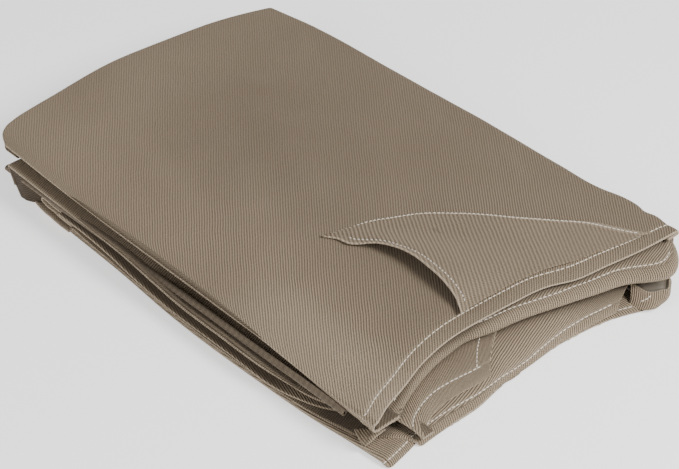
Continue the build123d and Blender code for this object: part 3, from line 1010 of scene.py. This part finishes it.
def build_wrap_side():
    """The wrap's near side: it hangs from the right panel's ledge and recedes behind the inner roll, coloured
    as cloth in painted shade, with a pale edge of rubbing and painted highlight at its outer end.
    """
    s, t = np.meshgrid(np.linspace(0, 1, 60), np.linspace(0, 1, 24), indexing="ij")
    top_z, foot_z = 25.6, 2.6
    z = (top_z - 2.2 * s) * (1 - t) + foot_z * t
    left = -173.2 + 8.5 * (top_z - z) / (top_z - foot_z)
    x = left + (-112 - left) * s
    y = -138.9 + 3.0 * t + 6.0 * ease((x + 160) / 14) + 0.25 * ripple(x, z, 31, 18)
    rub_and_highlight = 0.6 * bump(s, 0, 0.02)
    side = cloth("end_wrap_side", np.stack([x, y, z], -1), rub_and_highlight, "shaded_cloth", "middle_leaf")


def curve_3d(share, *stations):
    """Points along a smooth curve through (share, x, y, z) stations."""
    curves = [smooth(*((station[0], station[k]) for station in stations)) for k in (1, 2, 3)]
    return np.stack([curve(share) for curve in curves], -1)


def build_lobe():
    """The left panel's far corner: a slack fold whose coated inside shows in the hollow at the hemmed end."""
    s = np.linspace(0, 1, 60)
    rim = curve_3d(s, (0, 194, 91, 15.5), (0.25, 199, 92.5, 14.8), (0.5, 206.5, 95, 13),
                   (0.75, 211, 102.5, 12.8), (0.88, 213, 107, 13.5), (1, 207, 115, 15.5))
    inner = curve_3d(s, (0, 188, 96, 17), (0.5, 196, 104, 19), (0.88, 204, 112, 19.5), (1, 199, 119, 20))
    foot = curve_3d(s, (0, 199, 85, 3), (0.25, 205, 86.5, 2.6), (0.5, 211.5, 90.5, 3), (0.75, 214.5, 98, 4),
                    (0.88, 214.5, 107, 6.5), (1, 208, 116, 8.5))
    rows = []
    for t in np.linspace(0, 1, 26)[:-1]:
        sag = np.array([-1.0, 0, -3.2]) * math.sin(t * t * math.pi)
        rows.append(inner + (rim - inner) * t + sag)
    upper = len(rows)
    for t in np.linspace(0, 1, 18):
        bulge = np.array([1.2 * math.sin(t * math.pi), 0, 0])
        rows.append(rim + (foot - rim) * t + bulge)
    grid = np.array(rows)[:, ::-1]
    grid = grid + (0.3 * ripple(grid[..., 0], grid[..., 1], 12, 14))[..., None] * np.array([0.4, 0, 1])
    wear_and_shading = np.zeros(grid.shape[:2])
    # a pale rim of rubbing and painted highlight along the fold
    wear_and_shading[upper - 1:upper + 1] = 0.8
    lobe = cloth("side_panel_left_lobe", grid, wear_and_shading, "drop_cloth", "base_pack")
    lobe.data.materials.append(MATERIALS["coated_side"])
    per_row = grid.shape[1] - 1
    for polygon in lobe.data.polygons:
        polygon.material_index = 1 if polygon.index < (upper - 1) * per_row else 0
    t = np.linspace(0, 1, 20)
    line = grid[np.rint(upper + 3 + 9 * t).astype(int), np.rint(27 + 17 * t).astype(int)]
    small_stitches("lobe_stitches", line, (0.8, -0.1, 0.5), "base_pack", pitch=3.2, length=2.6)


def build_strap_end_stitches():
    """Two rows of stitching across the end of the strap that shows in the hollow at the hemmed end."""
    low, high = box_mm("closure_strap_left")
    for k, back in enumerate((1.2, 5.0)):
        x, z = high[0] - back, high[2] + 0.3
        line = np.linspace([x, low[1] + 1, z], [x - 2, low[1] + 16, z], 12)
        small_stitches(f"strap_end_stitches_{k + 1}", line, (0, 0, 1.0), "base_pack", pitch=3.0, length=2.6,
                       radius=0.4)


def build_corner_flap():
    """The left panel's near hem corner: a small stitched point that lies out over the layer below."""
    left, right = np.array([169, -132.5, 7.0]), np.array([183, -119, 8.2])
    tip = np.array([184.5, -139.2, 6.6])
    u, v = np.meshgrid(np.linspace(0, 0.97, 30), np.linspace(0, 1, 24), indexing="ij")
    grid = ((1 - u) * (1 - v))[..., None] * left + ((1 - u) * v)[..., None] * right + u[..., None] * tip
    grid[..., 2] += 0.9 * np.sin(v * math.pi) * (1 - u) + 0.2 * ripple(grid[..., 0], grid[..., 1], 9, 9)
    # pale rims of rubbing and painted highlight along both edges, painted shade in the crease between
    wear_and_shading = 0.9 * bump(v, 0, 0.07) + 0.9 * bump(v, 1, 0.07) - 0.6 * bump(v, 0.6, 0.10)
    cloth("side_panel_left_corner", grid, wear_and_shading, "drop_cloth", "base_pack")
    line = grid[6:-3, 18] + np.array([0, 0, 0.1])
    small_stitches("corner_stitches", line, (0.2, -0.4, 0.9), "base_pack", pitch=3.2, length=2.6)


# Each small part's CAD node, its material, and how much of its length the drooping hem leaves no room for
SMALL_PARTS = [
    ("closure_strap_left", "webbing", 0.0), ("closure_strap_right", "webbing", 12.0),
    ("strap_left_hook_patch", "hook_tape", 0.0), ("strap_right_hook_patch", "hook_tape", 12.0),
    ("strap_left_loop_patch", "loop_tape", 0.0), ("strap_right_loop_patch", "loop_tape", 12.0),
    ("care_label", "label", 0.0),
]


def build_small_parts():
    for node, material, short in SMALL_PARTS:
        flat_cloth(node + "_cloth", node, material, step=1.5, wave=0.08, short=short)
    panel = flat_cloth("top_panel_cloth", "top_panel", "cover_cloth", step=2.5, wave=0.3)
    roll_cloth("front_inner_roll_cloth", "front_panel_inner_roll", "middle_leaf")


# ---- stage

def build_stage():
    """A pale floor just under the pack, soft white surroundings, and two soft lights."""
    bpy.ops.mesh.primitive_plane_add(size=8, location=(0, 0, -0.0005))
    floor = bpy.context.object
    floor.name = "floor"
    pale = Nodes("floor", {"Base Color": (0.92, 0.92, 0.92, 1), "Roughness": 0.9,
                           "Emission Color": (1, 1, 1, 1), "Emission Strength": 0.8})
    floor.data.materials.append(pale.material)
    world = bpy.data.worlds.new("studio")
    bpy.context.scene.world = world
    world.use_nodes = True
    background = world.node_tree.nodes["Background"]
    background.inputs["Color"].default_value = (1, 1, 1, 1)
    background.inputs["Strength"].default_value = 0.34
    area_light("key", (1.05, 0.28, 0.95), 0.55, 27)
    area_light("fill", (0.15, -1.4, 0.70), 1.0, 12)


def area_light(name, place, size, power):
    """A square light at a place, aimed at the pack."""
    data = bpy.data.lights.new(name, "AREA")
    data.shape = "SQUARE"
    data.size = size
    data.energy = power
    light = bpy.data.objects.new(name, data)
    light.location = place
    light.rotation_euler = (-Vector(place)).to_track_quat("-Z", "Y").to_euler()
    bpy.context.scene.collection.objects.link(light)


def build_camera():
    """A long lens, looking down at the pack from in front of its near hemmed corner."""
    azimuth, elevation = math.radians(47.28), math.radians(38.10)
    target = Vector((0.0318, -0.0181, 0.020))
    distance = 1.7014
    level_x, level_y = math.sin(azimuth), -math.cos(azimuth)
    back = Vector((level_x * math.cos(elevation), level_y * math.cos(elevation), math.sin(elevation)))
    data = bpy.data.cameras.new("camera")
    data.sensor_width = 36.0
    data.lens = 135.3
    camera = bpy.data.objects.new("camera", data)
    camera.location = target + back * distance
    camera.rotation_euler = (-back).to_track_quat("-Z", "Y").to_euler()
    bpy.context.scene.collection.objects.link(camera)
    bpy.context.scene.camera = camera


build_leaves()
build_hood()
build_vent_mesh()
build_end_wrap()
build_wrap_side()
build_lobe()
build_strap_end_stitches()
build_corner_flap()
build_small_parts()
build_camera()
build_stage()
